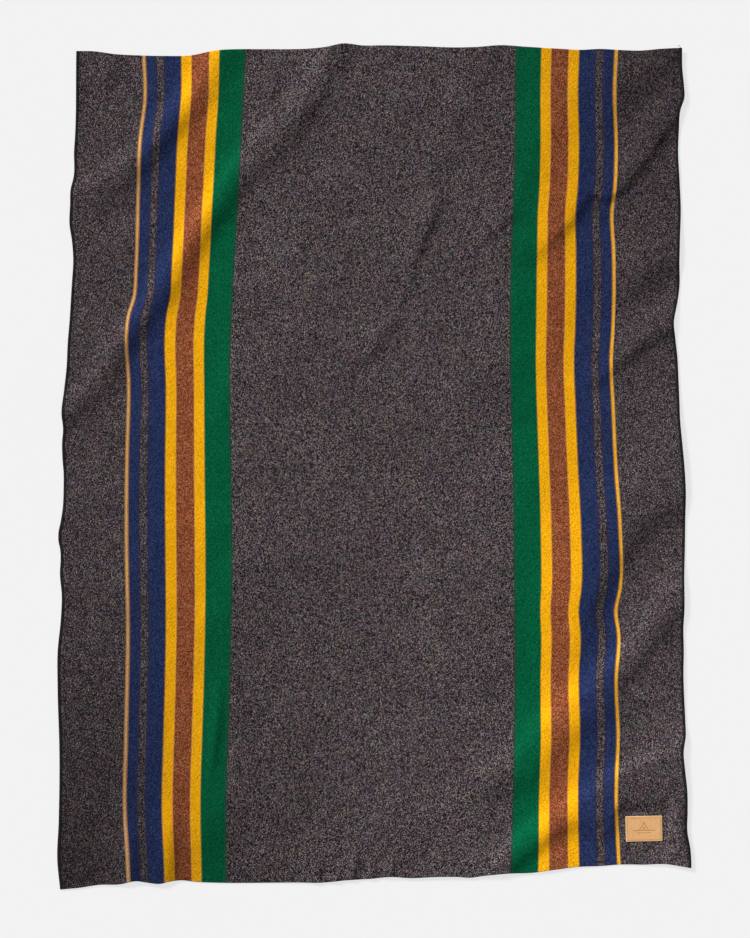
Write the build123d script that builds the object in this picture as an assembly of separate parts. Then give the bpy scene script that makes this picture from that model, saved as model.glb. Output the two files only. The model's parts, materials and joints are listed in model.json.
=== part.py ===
from build123d import *
import os

# Striped wool camp blanket, laid out flat. Millimetres, +Z up.
# Origin: centre of the underside. +X runs across the stripes and +Y along them.
# The leather patch lies on the upper face, in the +X, -Y corner.
#
# The cloth is weft-faced: wool weft yarns run along Y and close over a cotton warp that runs
# across X. Each stripe is its own weft yarn, so each is a node, and the one warp passes
# through all of them. The weft turns round the outermost warp yarns at the two ends (+-Y).
# The two sides (+-X) are cut edges, bound by a three-thread overlock.

# --- driving dimensions -------------------------------------------------------------------

blanket_width = 1676.0        # across the stripes, over the overlock
blanket_length = 2286.0       # along the stripes, selvedge to selvedge
cloth_thickness = 2.5         # fulled wool

warp_thickness = 0.7          # layer of cotton yarns in the middle of the cloth
selvedge_turn = 1.2           # weft that closes round the outermost warp yarn at each end

# stripes from a side edge inwards: name, width; the centre field takes what is left
margin_width = 181.0
stripes = [
    ("gold_pinstripe", 10.0),
    ("navy_outer", 28.0),
    ("charcoal_pinstripe", 22.0),
    ("navy_inner", 45.0),
    ("gold_outer", 29.0),
    ("brown_stripe", 48.5),
    ("gold_inner", 27.5),
    ("green_stripe", 69.0),
]

overlock_bite = 7.0           # from the side edge to the inner side of the needle thread
looper_thickness = 0.5        # net of looper thread on each face and round the cut edge
needle_thread = 0.9           # needle thread, side of its square section

patch_length = 98.0           # leather patch, along X
patch_width = 68.0            # along Y
patch_thickness = 1.8
patch_corner_radius = 2.5
patch_from_side = 65.0        # side edge of the blanket to the patch
patch_from_end = 67.0         # end of the blanket to the patch

seam_inset = 5.0              # patch edge to the middle of its seam
seam_stitch = 5.0             # wanted stitch length; each side takes a whole number of them
seam_thread = 0.8             # side of the thread's square section
seam_groove = 0.4             # how far the seam pulls into the leather
bobbin_rise = 0.1             # underside of the blanket to the underside of the bobbin thread
bobbin_cover = 0.15           # weft left between the bobbin thread and the warp

# --- sizes that follow --------------------------------------------------------------------

half_width = blanket_width / 2
half_length = blanket_length / 2
cut_edge = half_width - looper_thickness
warp_low = (cloth_thickness - warp_thickness) / 2
middle_plane = cloth_thickness / 2
bobbin_top = warp_low - bobbin_cover
leather_top = cloth_thickness + patch_thickness


def block(low, high):
    """A box from its lowest corner to its highest corner."""
    size = [h - l for l, h in zip(low, high)]
    centre = [(l + h) / 2 for l, h in zip(low, high)]
    return Pos(*centre) * Box(*size)


def mirrored(solid):
    """The same piece on the other side of the blanket."""
    return mirror(solid, about=Plane.YZ)


# --- cloth --------------------------------------------------------------------------------


def warp_sheet():
    """The cotton warp: it runs from cut edge to cut edge, and stops inside both selvedges."""
    end = half_length - selvedge_turn
    return block((-cut_edge, -end, warp_low), (cut_edge, end, warp_low + warp_thickness))


def weft_band(start, stop):
    """One stripe's weft, from x = start to x = stop, closed over the warp at both ends."""
    band = block((start, -half_length, 0), (stop, half_length, cloth_thickness))
    return band - warp_sheet()


def overlock_room():
    """What the overlock takes from the cloth on the +X side: a recess in each face."""
    inner = half_width - overlock_bite
    below = block((inner, -half_length, 0), (half_width, half_length, looper_thickness))
    above = Pos(0, 0, cloth_thickness - looper_thickness) * below
    return below, above


# --- overlock on the +X side ----------------------------------------------------------------


def looper(inner, face, inward):
    """A looper thread's net: flat on one face from x = inner, then half way round the cut edge."""
    section = Polyline(
        (inner, face),
        (half_width, face),
        (half_width, middle_plane),
        (cut_edge, middle_plane),
        (cut_edge, face + inward),
        (inner, face + inward),
        close=True,
    )
    net = extrude(Plane.XZ * make_face(section), amount=half_length, both=True)
    return net


def needle_seam():
    """The needle thread's run along the upper face, at the inner side of the overlock."""
    inner = half_width - overlock_bite
    low = cloth_thickness - looper_thickness
    return block(
        (inner, -half_length, low),
        (inner + needle_thread, half_length, low + needle_thread),
    )


# --- leather patch --------------------------------------------------------------------------

patch_x = half_width - patch_from_side - patch_length / 2
patch_y = -half_length + patch_from_end + patch_width / 2
seam_length = patch_length - 2 * seam_inset
seam_width = patch_width - 2 * seam_inset


def seam_ring(low, high):
    """The thread lying along the seam rectangle, from z = low to z = high."""
    outer = Rectangle(seam_length + seam_thread, seam_width + seam_thread)
    inner = Rectangle(seam_length - seam_thread, seam_width - seam_thread)
    return Pos(patch_x, patch_y, low) * extrude(outer - inner, amount=high - low)


def stitch_holes():
    """Centres of the needle holes, evenly spaced round the seam rectangle."""
    along = max(1, round(seam_length / seam_stitch))
    across = max(1, round(seam_width / seam_stitch))
    holes = []
    for i in range(along + 1):
        x = -seam_length / 2 + i * seam_length / along
        holes += [(x, -seam_width / 2), (x, seam_width / 2)]
    for i in range(1, across):
        y = -seam_width / 2 + i * seam_width / across
        holes += [(-seam_length / 2, y), (seam_length / 2, y)]
    return [(patch_x + x, patch_y + y) for x, y in holes]


def stitch_legs(low, high):
    """The thread in the needle holes, from z = low to z = high."""
    leg = Box(seam_thread, seam_thread, high - low)
    return [Pos(x, y, (low + high) / 2) * leg for x, y in stitch_holes()]


def top_thread():
    """The patch's upper thread: over the leather, then down each hole to the locked middle."""
    bed = leather_top - seam_groove
    return seam_ring(bed, bed + seam_thread) + stitch_legs(middle_plane, bed)


def bobbin_thread():
    """The patch's lower thread: under the cloth, then up each hole to the locked middle."""
    return seam_ring(bobbin_rise, bobbin_top) + stitch_legs(bobbin_top, middle_plane)


def seam_room():
    """Everything that the two threads pass through."""
    bed = leather_top - seam_groove
    holes = stitch_legs(bobbin_rise, bed)
    return [seam_ring(0, bobbin_top), seam_ring(bed, leather_top), *holes]


def patch():
    outline = RectangleRounded(patch_length, patch_width, patch_corner_radius)
    leather = Pos(patch_x, patch_y, cloth_thickness) * extrude(outline, amount=patch_thickness)
    return leather - seam_room()


# --- assembly -------------------------------------------------------------------------------

nodes = {}

below, above = overlock_room()
margin_start = half_width - margin_width
margin = weft_band(margin_start, cut_edge) - [below, above]
nodes["margin_right"] = margin - seam_room()
nodes["margin_left"] = mirrored(margin)

seam_start = patch_x - (seam_length + seam_thread) / 2
stop = margin_start
for name, width in stripes:
    band = weft_band(stop - width, stop)
    nodes[name + "_right"] = band - seam_room() if stop > seam_start else band
    nodes[name + "_left"] = mirrored(band)
    stop -= width
nodes["centre_field"] = weft_band(-stop, stop)
nodes["cotton_warp"] = warp_sheet() - seam_room()

bite_start = half_width - overlock_bite
upper = looper(bite_start + needle_thread, cloth_thickness, -looper_thickness)
lower = looper(bite_start, 0, looper_thickness)
for name, thread in (
    ("upper_looper_thread", upper),
    ("lower_looper_thread", lower),
    ("overlock_needle_thread", needle_seam()),
):
    nodes[name + "_right"] = thread
    nodes[name + "_left"] = mirrored(thread)

nodes["leather_patch"] = patch()
nodes["patch_top_thread"] = top_thread()
nodes["patch_bobbin_thread"] = bobbin_thread()

os.makedirs("parts", exist_ok=True)
for name, solid in nodes.items():
    export_step(solid, f"parts/{name}.step")
    print(name, len(solid.solids()), "solid,", round(solid.volume), "mm3")
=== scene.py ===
# %% [markdown]
# # A striped wool camp blanket, laid out flat
# This lesson dresses a CAD model of a blanket in Blender. The CAD model is a flat assembly: nineteen
# bands of wool weft, a cotton warp inside them, two overlocked side edges and a sewn leather patch.
# Here each of them gets its real shape and finish: a cloth that was spread by hand and kept a few
# soft folds, yarn by yarn colour, thread that really loops round the edge, and stamped leather.
# The CAD model is loaded first, as a frame that is never moved. It gives every piece its size and
# its place on the flat cloth.

# %% Load the fixed frame
import json
import math
import bpy
import numpy as np
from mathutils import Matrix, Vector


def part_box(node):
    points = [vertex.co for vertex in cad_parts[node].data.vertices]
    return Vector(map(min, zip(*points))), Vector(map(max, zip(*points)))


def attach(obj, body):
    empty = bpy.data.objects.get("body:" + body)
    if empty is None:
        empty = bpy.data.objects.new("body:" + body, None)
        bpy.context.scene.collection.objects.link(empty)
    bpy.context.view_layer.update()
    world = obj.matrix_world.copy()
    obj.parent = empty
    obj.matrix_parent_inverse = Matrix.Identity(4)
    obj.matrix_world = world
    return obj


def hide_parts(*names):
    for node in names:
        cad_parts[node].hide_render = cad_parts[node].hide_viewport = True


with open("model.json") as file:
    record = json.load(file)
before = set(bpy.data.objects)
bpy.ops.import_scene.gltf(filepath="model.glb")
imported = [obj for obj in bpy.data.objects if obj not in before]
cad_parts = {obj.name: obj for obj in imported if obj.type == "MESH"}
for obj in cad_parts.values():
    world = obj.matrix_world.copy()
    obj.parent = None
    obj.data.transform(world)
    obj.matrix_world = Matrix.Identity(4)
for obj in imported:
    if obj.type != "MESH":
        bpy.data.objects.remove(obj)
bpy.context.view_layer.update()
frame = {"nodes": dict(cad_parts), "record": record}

MM = 0.001      # Blender works in metres here, so small sizes are written as 5 * MM

# %% [markdown]
# ## Camera
# The blanket is seen from straight above, like a garment on a studio floor. A long lens far away
# keeps the two ends the same width, so any taper that is left is in the cloth itself. An
# orthographic camera would do the same, but a long lens also works for views from the side.

# %% Camera
picture_height = 2.514          # metres of floor from the picture's top edge to its bottom edge
camera_height = 8.0
film_height = 36.0              # millimetres, the camera's own unit

camera_data = bpy.data.cameras.new("camera")
camera_data.sensor_width = film_height
camera_data.lens = film_height * camera_height / picture_height
camera = bpy.data.objects.new("camera", camera_data)
camera.location = (0.004, -0.008, camera_height)
bpy.context.scene.collection.objects.link(camera)
bpy.context.scene.camera = camera
print("lens", round(camera_data.lens), "mm")

# %% [markdown]
# ## Sizes from the frame
# The flat cloth is measured before it is shaped. `u` is the place across the stripes and `v` the
# place along them, both on the flat, unfolded cloth, in metres. Everything that is woven or sewn
# is built in (u, v) first and laid down afterwards, so a stripe stays on its own yarns in a fold.

# %% Sizes from the frame
weft_nodes = [
    n for n in frame["nodes"]
    if n.startswith(("margin", "gold", "navy", "charcoal", "brown", "green", "centre"))
]
band_edges = {n: (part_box(n)[0][0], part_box(n)[1][0]) for n in weft_nodes}
band_order = sorted(weft_nodes, key=lambda n: band_edges[n][0])
cloth_low, cloth_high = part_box("centre_field")
thickness = cloth_high[2] - cloth_low[2]
half_length = cloth_high[1]
half_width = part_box("upper_looper_thread_right")[1][0]
cut_edge = band_edges["margin_right"][1]
looper_bite = half_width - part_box("lower_looper_thread_right")[0][0]
print("cloth", round(2 * half_width, 3), "x", round(2 * half_length, 3), "x", round(thickness, 4))

# %% [markdown]
# ## How the cloth lies on the floor
# Nobody lays a blanket down as a perfect rectangle: the ends bow, and the stripes wander by a
# centimetre or two where the cloth was pulled. That could be left to a simulation, but then it
# would wander anywhere. Instead a few guide lines say how far the cloth has drifted from its flat
# place, in millimetres, and `smooth_line` runs a soft curve through each.

# %% Guide lines of the laid cloth
# for some places across the flat cloth: (place along the blanket, drift across it) from the foot up
drift_lines = {
    -838: [(-1130, -2), (-1055, -9), (-950, -5), (-760, -3), (-600, -8), (-495, -8), (-415, 0),
           (-350, 3), (-285, -2), (-250, 0), (-225, -1), (-200, -6), (-180, -6), (-150, 0), (-110, 6),
           (-60, 8), (-20, 8), (20, 5), (60, 4), (100, 7), (140, 3), (200, 9), (265, 16), (330, 19),
           (390, 24), (455, 28), (500, 31), (550, 34), (600, 31), (650, 24), (700, 26), (740, 27),
           (775, 35), (845, 36), (875, 38), (1110, 42)],
    -652: [(-1120, -3), (-1050, -6), (-930, -14), (-730, -11), (-405, -6), (-250, -9), (-10, -9),
           (215, -4), (365, -9), (405, -4), (450, 10), (530, 16), (735, 22), (885, 28), (985, 40),
           (1100, 37)],
    -378: [(-1120, -17), (-890, -17), (-570, -7), (-250, -1), (-10, -4), (285, -7), (450, -1),
           (770, 18), (1100, 34)],
    378: [(-1090, -10), (-890, -4), (-650, 1), (-250, -1), (-10, -4), (205, -10), (530, -10),
          (770, -1), (1120, 4)],
    652: [(-1065, 5), (-875, -3), (-730, 3), (-570, -3), (-455, 5), (-385, -3), (-330, 8),
          (-170, 8), (-10, -3), (165, -11), (285, -16), (365, -11), (570, -9), (690, -13),
          (735, -7), (845, -2), (1010, -7), (1120, -2)],
    838: [(-1060, 13), (-1030, 11), (-975, 2), (-930, 3), (-870, 2), (-815, -4), (-765, -8),
          (-720, -2), (-680, -3), (-620, -6), (-560, -8), (-495, -7), (-430, -8), (-395, -6),
          (-300, -6), (-225, -4), (-145, -3), (-75, -2), (0, -6), (55, -11), (120, -17), (180, -19),
          (230, -21), (290, -24), (345, -30), (385, -34), (420, -28), (445, -23), (490, -18),
          (540, -19), (600, -18), (690, -15), (760, -18), (845, -22), (900, -20), (955, -16),
          (985, -6), (1020, -7), (1060, -11), (1120, -12)],
}
# (place across the blanket, place of the end edge)
head_line = [(-838, 1112), (-785, 1111), (-735, 1104), (-680, 1101), (-600, 1099), (-520, 1101),
             (-465, 1112), (-385, 1117), (-330, 1117), (-195, 1119), (-150, 1123), (-105, 1132),
             (-50, 1127), (5, 1127), (110, 1125), (205, 1122), (270, 1123), (340, 1128), (400, 1124),
             (500, 1118), (560, 1115), (605, 1117), (660, 1114), (715, 1112), (780, 1117), (838, 1120)]
foot_line = [(-838, -1135), (-785, -1130), (-730, -1122), (-680, -1121), (-630, -1112), (-600, -1116),
             (-565, -1119), (-535, -1113), (-505, -1110), (-465, -1114), (-385, -1117), (-300, -1117),
             (-195, -1116), (-120, -1116), (-60, -1110), (5, -1106), (60, -1101), (110, -1104),
             (180, -1101), (240, -1101), (270, -1103), (300, -1099), (365, -1092), (430, -1090),
             (495, -1081), (550, -1074), (605, -1072), (655, -1068), (715, -1068), (780, -1067),
             (815, -1073), (838, -1077)]
print("guide lines at", sorted(drift_lines), "mm across")

# %% [markdown]
# A curve that knows its slope at each point, a cubic, runs through all of them without a kink.
# `laid_plan` reads the two guide lines beside a point of the cloth and blends their drift.

# %% Soft curves and the plan of the laid cloth
def smooth_line(points, at):
    """Heights at the places `at` of a soft curve through points, each (place, height)."""
    place, height = np.array(points, dtype=float).T
    slope = np.gradient(height, place)
    at = np.clip(at, place[0], place[-1])
    k = np.clip(np.searchsorted(place, at) - 1, 0, len(place) - 2)
    gap = place[k + 1] - place[k]
    t = (at - place[k]) / gap
    rise = (2 * t ** 3 - 3 * t ** 2 + 1) * height[k] + (3 * t ** 2 - 2 * t ** 3) * height[k + 1]
    lean = (t ** 3 - 2 * t ** 2 + t) * slope[k] + (t ** 3 - t ** 2) * slope[k + 1]
    return rise + lean * gap


def laid_plan(u, v):
    """Where a point of the flat cloth lies, seen from above."""
    share = (v + half_length) / (2 * half_length)
    head = smooth_line(head_line, u / MM)
    foot = smooth_line(foot_line, u / MM)
    y = foot + share * (head - foot)
    guides = np.array(sorted(drift_lines), dtype=float)
    drifts = np.array([smooth_line(drift_lines[int(g)], y) for g in guides])
    k = np.clip(np.searchsorted(guides, u / MM) - 1, 0, len(guides) - 2)
    t = np.clip((u / MM - guides[k]) / (guides[k + 1] - guides[k]), 0, 1)
    near = np.take_along_axis(drifts, k[None], axis=0)[0]
    far = np.take_along_axis(drifts, (k + 1)[None], axis=0)[0]
    return u + MM * (near + t * (far - near)), MM * y


corner_x, corner_y = laid_plan(np.array([-half_width, half_width]), np.array([-half_length] * 2))
print("foot corners lie at x", corner_x.round(3), "y", corner_y.round(3))

# %% [markdown]
# ## Soft folds
# Thick wool makes no sharp creases. What is left after smoothing it by hand are low ridges, one
# flank wide and gentle, the other short and steep, and all of them run the same way, because the
# cloth was pulled out by one corner. Each fold is a crest line through listed points and a bell-shaped
# profile with two widths. Sculpting would give the same, but a crest line is easier to correct.

# %% Crest lines of the folds
# crest points from upper right to lower left, in millimetres:
# (across, along, rise, width of the flank on the upper left, width of the one on the lower right)
folds = [
    # the long arc over the upper left corner
    [(-100, 1160, 6.5, 42, 42), (-115, 1095, 7.5, 40, 42), (-140, 1050, 7.5, 40, 42),
     (-175, 985, 8.5, 40, 42), (-220, 930, 9, 36, 40), (-290, 860, 9.5, 36, 42),
     (-355, 790, 9.5, 36, 42), (-450, 660, 8.5, 32, 38), (-520, 550, 9, 34, 38),
     (-555, 495, 9, 34, 38), (-620, 405, 9, 32, 40), (-670, 335, 8, 32, 38),
     (-750, 220, 7, 32, 42), (-805, 160, 7.5, 32, 40), (-875, 100, 7, 32, 40)],
    # the shorter one beside it
    [(-385, 1155, 2, 36, 48), (-435, 1060, 5.5, 36, 48), (-510, 955, 8.5, 34, 38),
     (-565, 895, 8.5, 34, 36), (-615, 835, 8.5, 36, 40), (-695, 775, 6.5, 36, 52),
     (-775, 730, 6.5, 36, 72), (-875, 685, 5.5, 36, 72)],
    [(-680, 1130, 2.5, 44, 28), (-700, 1070, 3, 44, 30), (-730, 990, 0, 44, 30)],
    # upper right corner
    [(800, 1160, 6.5, 130, 56), (755, 1110, 6.5, 130, 56), (690, 1050, 6, 120, 54),
     (645, 1000, 4.5, 110, 50), (590, 930, 0, 90, 50)],
    [(860, 1000, 6, 60, 24), (815, 950, 6.5, 60, 24), (790, 925, 6.5, 60, 24), (740, 855, 6.5, 60, 24),
     (705, 810, 6.5, 60, 24), (655, 745, 6.5, 60, 24), (625, 725, 6, 60, 20), (585, 735, 5.5, 60, 20),
     (535, 675, 5.5, 60, 24), (485, 625, 4.5, 60, 24), (430, 575, 2.5, 60, 24), (380, 530, 0, 60, 24)],
    [(400, 695, 0, 40, 20), (360, 670, 3.5, 40, 20), (310, 625, 3, 40, 20), (240, 590, 0, 40, 20)],
    [(860, 575, 6, 110, 48), (790, 560, 6, 110, 48), (720, 525, 5.5, 110, 46), (670, 490, 4, 100, 44),
     (600, 440, 0, 90, 40)],
    [(875, 420, 6, 60, 28), (795, 380, 7, 60, 28), (735, 345, 7, 56, 28),
     (700, 320, 7, 56, 26), (645, 275, 5.5, 56, 26), (595, 235, 3, 52, 26), (545, 195, 0, 48, 26)],
    # right side, then lower right corner
    [(875, -25, 10, 190, 52), (765, -90, 10, 190, 52), (720, -125, 10, 180, 50),
     (680, -175, 10, 170, 48), (640, -240, 9.5, 150, 48), (590, -315, 9, 140, 48),
     (565, -370, 7, 120, 44), (535, -450, 3.5, 100, 44), (495, -540, 0, 90, 44)],
    [(900, -280, 8, 48, 42), (820, -360, 9, 50, 48), (765, -410, 10, 50, 42), (690, -520, 11, 38, 36),
     (630, -570, 11, 40, 38), (600, -620, 11, 44, 52), (545, -655, 11.5, 48, 64),
     (485, -700, 11, 48, 64), (425, -765, 10, 46, 64), (330, -835, 7, 52, 64),
     (240, -905, 4, 62, 64), (150, -970, 0, 62, 60)],
    [(890, -725, 10, 36, 180), (815, -765, 10.5, 36, 180), (755, -810, 10.5, 36, 170),
     (670, -840, 11, 36, 160), (590, -895, 11, 36, 110), (530, -930, 10.5, 40, 50),
     (485, -960, 10, 40, 34), (430, -1000, 9.5, 38, 32), (385, -1035, 8, 36, 32),
     (340, -1085, 6, 36, 30), (320, -1130, 4, 36, 30)],
    [(810, -880, 0, 20, 16), (815, -940, 4, 22, 16), (820, -1000, 3, 22, 16), (835, -1060, 0, 22, 16)],
    # faint ones in the middle
    [(300, 1150, 3, 60, 34), (295, 1085, 3.5, 60, 36), (260, 1000, 3, 60, 38),
     (220, 920, 2.5, 60, 40), (170, 850, 2, 60, 36), (150, 780, 2, 50, 30),
     (170, 715, 3.5, 40, 20), (155, 680, 5.5, 40, 18), (135, 620, 5.5, 40, 18),
     (105, 555, 4, 40, 18), (90, 500, 1.5, 40, 20), (60, 410, 2, 40, 24), (-10, 320, 2, 40, 24),
     (-80, 260, 1, 40, 24), (-160, 200, 0, 40, 24)],
    [(45, -645, 0, 32, 18), (-20, -680, 2, 32, 18), (-80, -715, 0, 32, 18)],
    # down the left stripes
    [(-405, -540, 0, 18, 12), (-415, -640, 2.5, 18, 12), (-425, -740, 3, 18, 12),
     (-440, -860, 0, 18, 12)],
    [(-520, -860, 0, 30, 22), (-545, -980, 4, 34, 24), (-560, -1130, 5, 36, 26)],
    [(-640, -900, 0, 20, 34), (-650, -1010, 4, 22, 40), (-655, -1140, 5, 22, 40)],
]
# short ripples that run in from the foot edge: the place across and how far in they reach
for place, length in ((-150, 90), (-100, 60), (-55, 95), (-5, 70), (45, 80)):
    folds.append([(place + 6, -1120 + length, 0, 15, 11), (place + 3, -1150 + length, 2.4, 15, 11),
                  (place, -1130, 2.8, 15, 11)])

print("folds", len(folds), "with", sum(len(fold) for fold in folds), "crest points")

# %% [markdown]
# The rise at a point depends on how far the point is from the crest line and on which side of it.
# The crest is first cut into short straight steps. Only the nearest step counts, so that a bend
# in a crest does not add up twice.

# %% Height of one fold
crest_step = 20     # millimetres


def soft_step(t):
    """From 0 to 1 with no corner at either end."""
    t = np.clip(t, 0, 1)
    return t * t * (3 - 2 * t)


def fold_rise(x, y, points):
    """The height that one fold adds, in metres, at the laid places (x, y)."""
    points = np.array(points, dtype=float)
    walked = np.r_[0, np.cumsum(np.linalg.norm(np.diff(points[:, :2], axis=0), axis=1))]
    at = np.linspace(0, walked[-1], max(5, int(walked[-1] / crest_step)))
    crest = np.array([smooth_line(np.c_[walked, column], at) for column in points.T]).T
    best = np.full(x.shape, np.inf)
    total = np.zeros(x.shape)
    for here, there in zip(crest[:-1], crest[1:]):
        sx, sy = there[:2] - here[:2]
        dx, dy = x / MM - here[0], y / MM - here[1]
        t = np.clip((dx * sx + dy * sy) / (sx * sx + sy * sy), 0, 1)
        rise, upper_left, lower_right = [a + t * (b - a) for a, b in zip(here[2:], there[2:])]
        width = np.where(sx * dy - sy * dx > 0, lower_right, upper_left)
        gap = (dx - t * sx) ** 2 + (dy - t * sy) ** 2
        total = np.where(gap < best, rise * np.exp(-gap / width ** 2), total)
        best = np.minimum(gap, best)
    return MM * np.maximum(total, 0)


first_crest = np.array(folds[0])[:, :2].T * MM
print("first fold rises", (fold_rise(*first_crest, folds[0]) / MM).round(1), "mm along its crest")

# %% [markdown]
# Between the folds the cloth is not dead flat either. Many long low waves of any heading, from a
# fixed seed, stand for what no hand smooths out. The folds are added to them, and the sum bends off
# softly below a highest rise, so that crossing folds do not tower up. The leather patch is stiff, so
# the cloth stays flat under it.

# %% Height of the whole cloth
highest_rise = 10.8 * MM
wave_lengths = np.geomspace(0.09, 0.75, 44)
wave_slope = 0.9 * MM       # rise for each metre of wave length
wave_level = 1.6 * MM
patch_level = 2.2 * MM
flat_apron = 4 * MM         # flat cloth that stands out beyond the patch
apron_fade = 40 * MM        # and the stretch from there back to the free cloth
bend_off = 5                # the higher, the later and the sharper the sum bends off


def slow_waves(x, y):
    """Very low swells all over the cloth, in metres."""
    chance = np.random.default_rng(3)
    total = np.full(x.shape, wave_level)
    for length in wave_lengths:
        turn, phase = chance.uniform(0, 2 * math.pi, 2)
        place = x * math.cos(turn) + y * math.sin(turn)
        total += wave_slope * length * np.sin(2 * math.pi * place / length + phase)
    return total


patch_low, patch_high = [np.array(corner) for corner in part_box("leather_patch")]
patch_size = (patch_high - patch_low)[:2]
patch_flat = (patch_low + patch_high)[:2] / 2
patch_laid = np.array(laid_plan(*patch_flat[:, None]))[:, 0]


def laid_height(x, y):
    """Height of the cloth's underside above the floor, held below the highest rise."""
    rise = slow_waves(x, y)
    for fold in folds:
        rise = rise + fold_rise(x, y, fold)
    outside = np.hypot(*[
        np.maximum(np.abs(place - middle) - size / 2, 0)
        for place, middle, size in zip((x, y), patch_laid, patch_size)
    ])
    stiff = 1 - soft_step((outside - flat_apron) / apron_fade)
    rise = rise + stiff * (patch_level - rise)
    share = np.maximum(rise, 0) / highest_rise
    return highest_rise * share / (1 + share ** bend_off) ** (1 / bend_off)


print("patch", patch_size.round(3), "lies at", patch_laid.round(3))

# %% [markdown]
# ## One grid for the whole cloth
# The nineteen bands are woven in one go, so they are cut from one grid. Its columns fall exactly
# on the stripe edges, and extra rows and columns round the selvedges and thin the cut edges, where
# the overlock squeezes the wool.

# %% Columns and rows
cell = 6.0 * MM
edge_margin = 18 * MM       # the even columns of a margin start here
end_steps = np.array([0.0, 0.12, 0.4, 0.8, 1.3, 3.0]) * MM       # rows that round a selvedge
edge_steps = np.array([0.0, 2.5, 5.0, 7.0, 8.5, 10.5, 14.0]) * MM  # columns under the overlock


def even_steps(start, stop):
    """Places from start to stop, about a cell apart."""
    return np.linspace(start, stop, max(2, math.ceil((stop - start) / cell)) + 1)


column_list = [np.array([-cut_edge])]
band_slices = {}
for node in band_order:
    start, stop = band_edges[node]
    inner = even_steps(start, stop)
    if node == "margin_left":
        inner = np.r_[start + edge_steps, even_steps(start + edge_margin, stop)]
    if node == "margin_right":
        inner = np.r_[even_steps(start, stop - edge_margin), stop - edge_steps[::-1]]
    first = sum(len(c) for c in column_list) - 1
    column_list.append(inner[1:])
    band_slices[node] = slice(first, first + len(inner))
columns = np.concatenate(column_list)
even_rows = even_steps(cell - half_length, half_length - cell)
rows = np.r_[-half_length + end_steps, even_rows, half_length - end_steps[::-1]]
flat_u, flat_v = np.meshgrid(columns, rows)
print("grid", flat_u.shape[0], "rows", flat_u.shape[1], "columns")

# %% [markdown]
# The grid is laid down by its middle layer, and each face is half a thickness away along the
# normal. The cut edges are lifted a little, because the threads of the overlock lie under them.
# Normals are worked out on the whole grid before it is cut up, so light runs over the stripe edges
# without a seam.

# %% The laid grid
squeezed_half = 0.30 * thickness
squeeze_start = looper_bite - 0.5 * MM     # inset from the cut edge where the wool swells again
squeeze_fade = 6 * MM
thinnest_end = 0.04                        # keeps the two faces apart at the selvedge
floor_gap = 0.25 * MM
thread_lift = 0.7 * MM
lift_start = cut_edge - 20 * MM            # where the lift begins, and the width over which it grows
lift_fade = 14 * MM
lean = np.array([1.6, 1.6, 1.0])           # the light reads the folds as steeper than they are


def half_thickness(u, v):
    """Half the cloth's thickness: rounded at the selvedges, squeezed under the overlock."""
    to_end = np.clip((half_length - np.abs(v)) / (thickness / 2), 0, 1)
    rounding = np.sqrt(np.clip(1 - (1 - to_end) ** 2, thinnest_end, 1))
    to_side = cut_edge - np.abs(u)
    squeeze = soft_step((to_side - squeeze_start) / squeeze_fade)
    return rounding * (squeezed_half + squeeze * (thickness / 2 - squeezed_half))


laid_x, laid_y = laid_plan(flat_u, flat_v)
under_thread = thread_lift * soft_step((np.abs(flat_u) - lift_start) / lift_fade)
laid_z = laid_height(laid_x, laid_y) + thickness / 2 + floor_gap + under_thread
middle = np.stack([laid_x, laid_y, laid_z], axis=-1)


def grid_normals(points):
    """The upward normal at each point of a grid of laid points."""
    across = np.gradient(points, columns, axis=1)
    along = np.gradient(points, rows, axis=0)
    normal = np.cross(across, along)
    return normal / np.linalg.norm(normal, axis=-1, keepdims=True)


middle_normal = grid_normals(middle)
half = half_thickness(flat_u, flat_v)[..., None]
upper, lower = middle + middle_normal * half, middle - middle_normal * half
upper_normal, lower_normal = grid_normals(upper) * lean, -grid_normals(lower) * lean
print("highest point of the cloth", round(float(upper[..., 2].max()), 4))

# %% [markdown]
# Threads and the patch are sewn on at places between the grid's points, so they need to ask the
# cloth where it is. `on_cloth` answers that for any flat place.

# %% Any place on the cloth
def sample_grid(values, u, v):
    """A value of the grid at any (u, v), read between the four nearest points."""
    i = np.clip(np.searchsorted(columns, u) - 1, 0, len(columns) - 2)
    j = np.clip(np.searchsorted(rows, v) - 1, 0, len(rows) - 2)
    s = ((u - columns[i]) / (columns[i + 1] - columns[i]))[..., None]
    t = ((v - rows[j]) / (rows[j + 1] - rows[j]))[..., None]
    near = values[j, i] * (1 - s) + values[j, i + 1] * s
    far = values[j + 1, i] * (1 - s) + values[j + 1, i + 1] * s
    return near * (1 - t) + far * t


def on_cloth(u, v, lift):
    """A point `lift` above the cloth's middle layer, measured along its normal."""
    normal = sample_grid(middle_normal, u, v)
    return sample_grid(middle, u, v) + normal * np.asarray(lift)[..., None]


print("middle of the cloth", on_cloth(np.zeros(1), np.zeros(1), np.zeros(1))[0].round(4))

# %% [markdown]
# ## Weft bands
# Each stripe is its own yarn, so each is its own closed piece of cloth: an upper face, a lower
# face and a rim. The flat place of every point is kept in a UV map, in metres. The yarn pattern is
# drawn from that map, and so it bends with the stripe instead of sliding over it.

# %% Mesh helpers
def new_piece(name, points, faces):
    """A new object from points and faces, linked into the scene."""
    mesh = bpy.data.meshes.new(name)
    mesh.from_pydata(np.asarray(points).tolist(), [], faces)
    piece = bpy.data.objects.new(name, mesh)
    bpy.context.scene.collection.objects.link(piece)
    print(name, len(points), "points", len(faces), "faces")
    return piece


def quad_corners(grid):
    """The four corners of each cell of a grid, turning left seen from its normal."""
    return np.stack([grid[:-1, :-1], grid[:-1, 1:], grid[1:, 1:], grid[1:, :-1]], 2)


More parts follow.
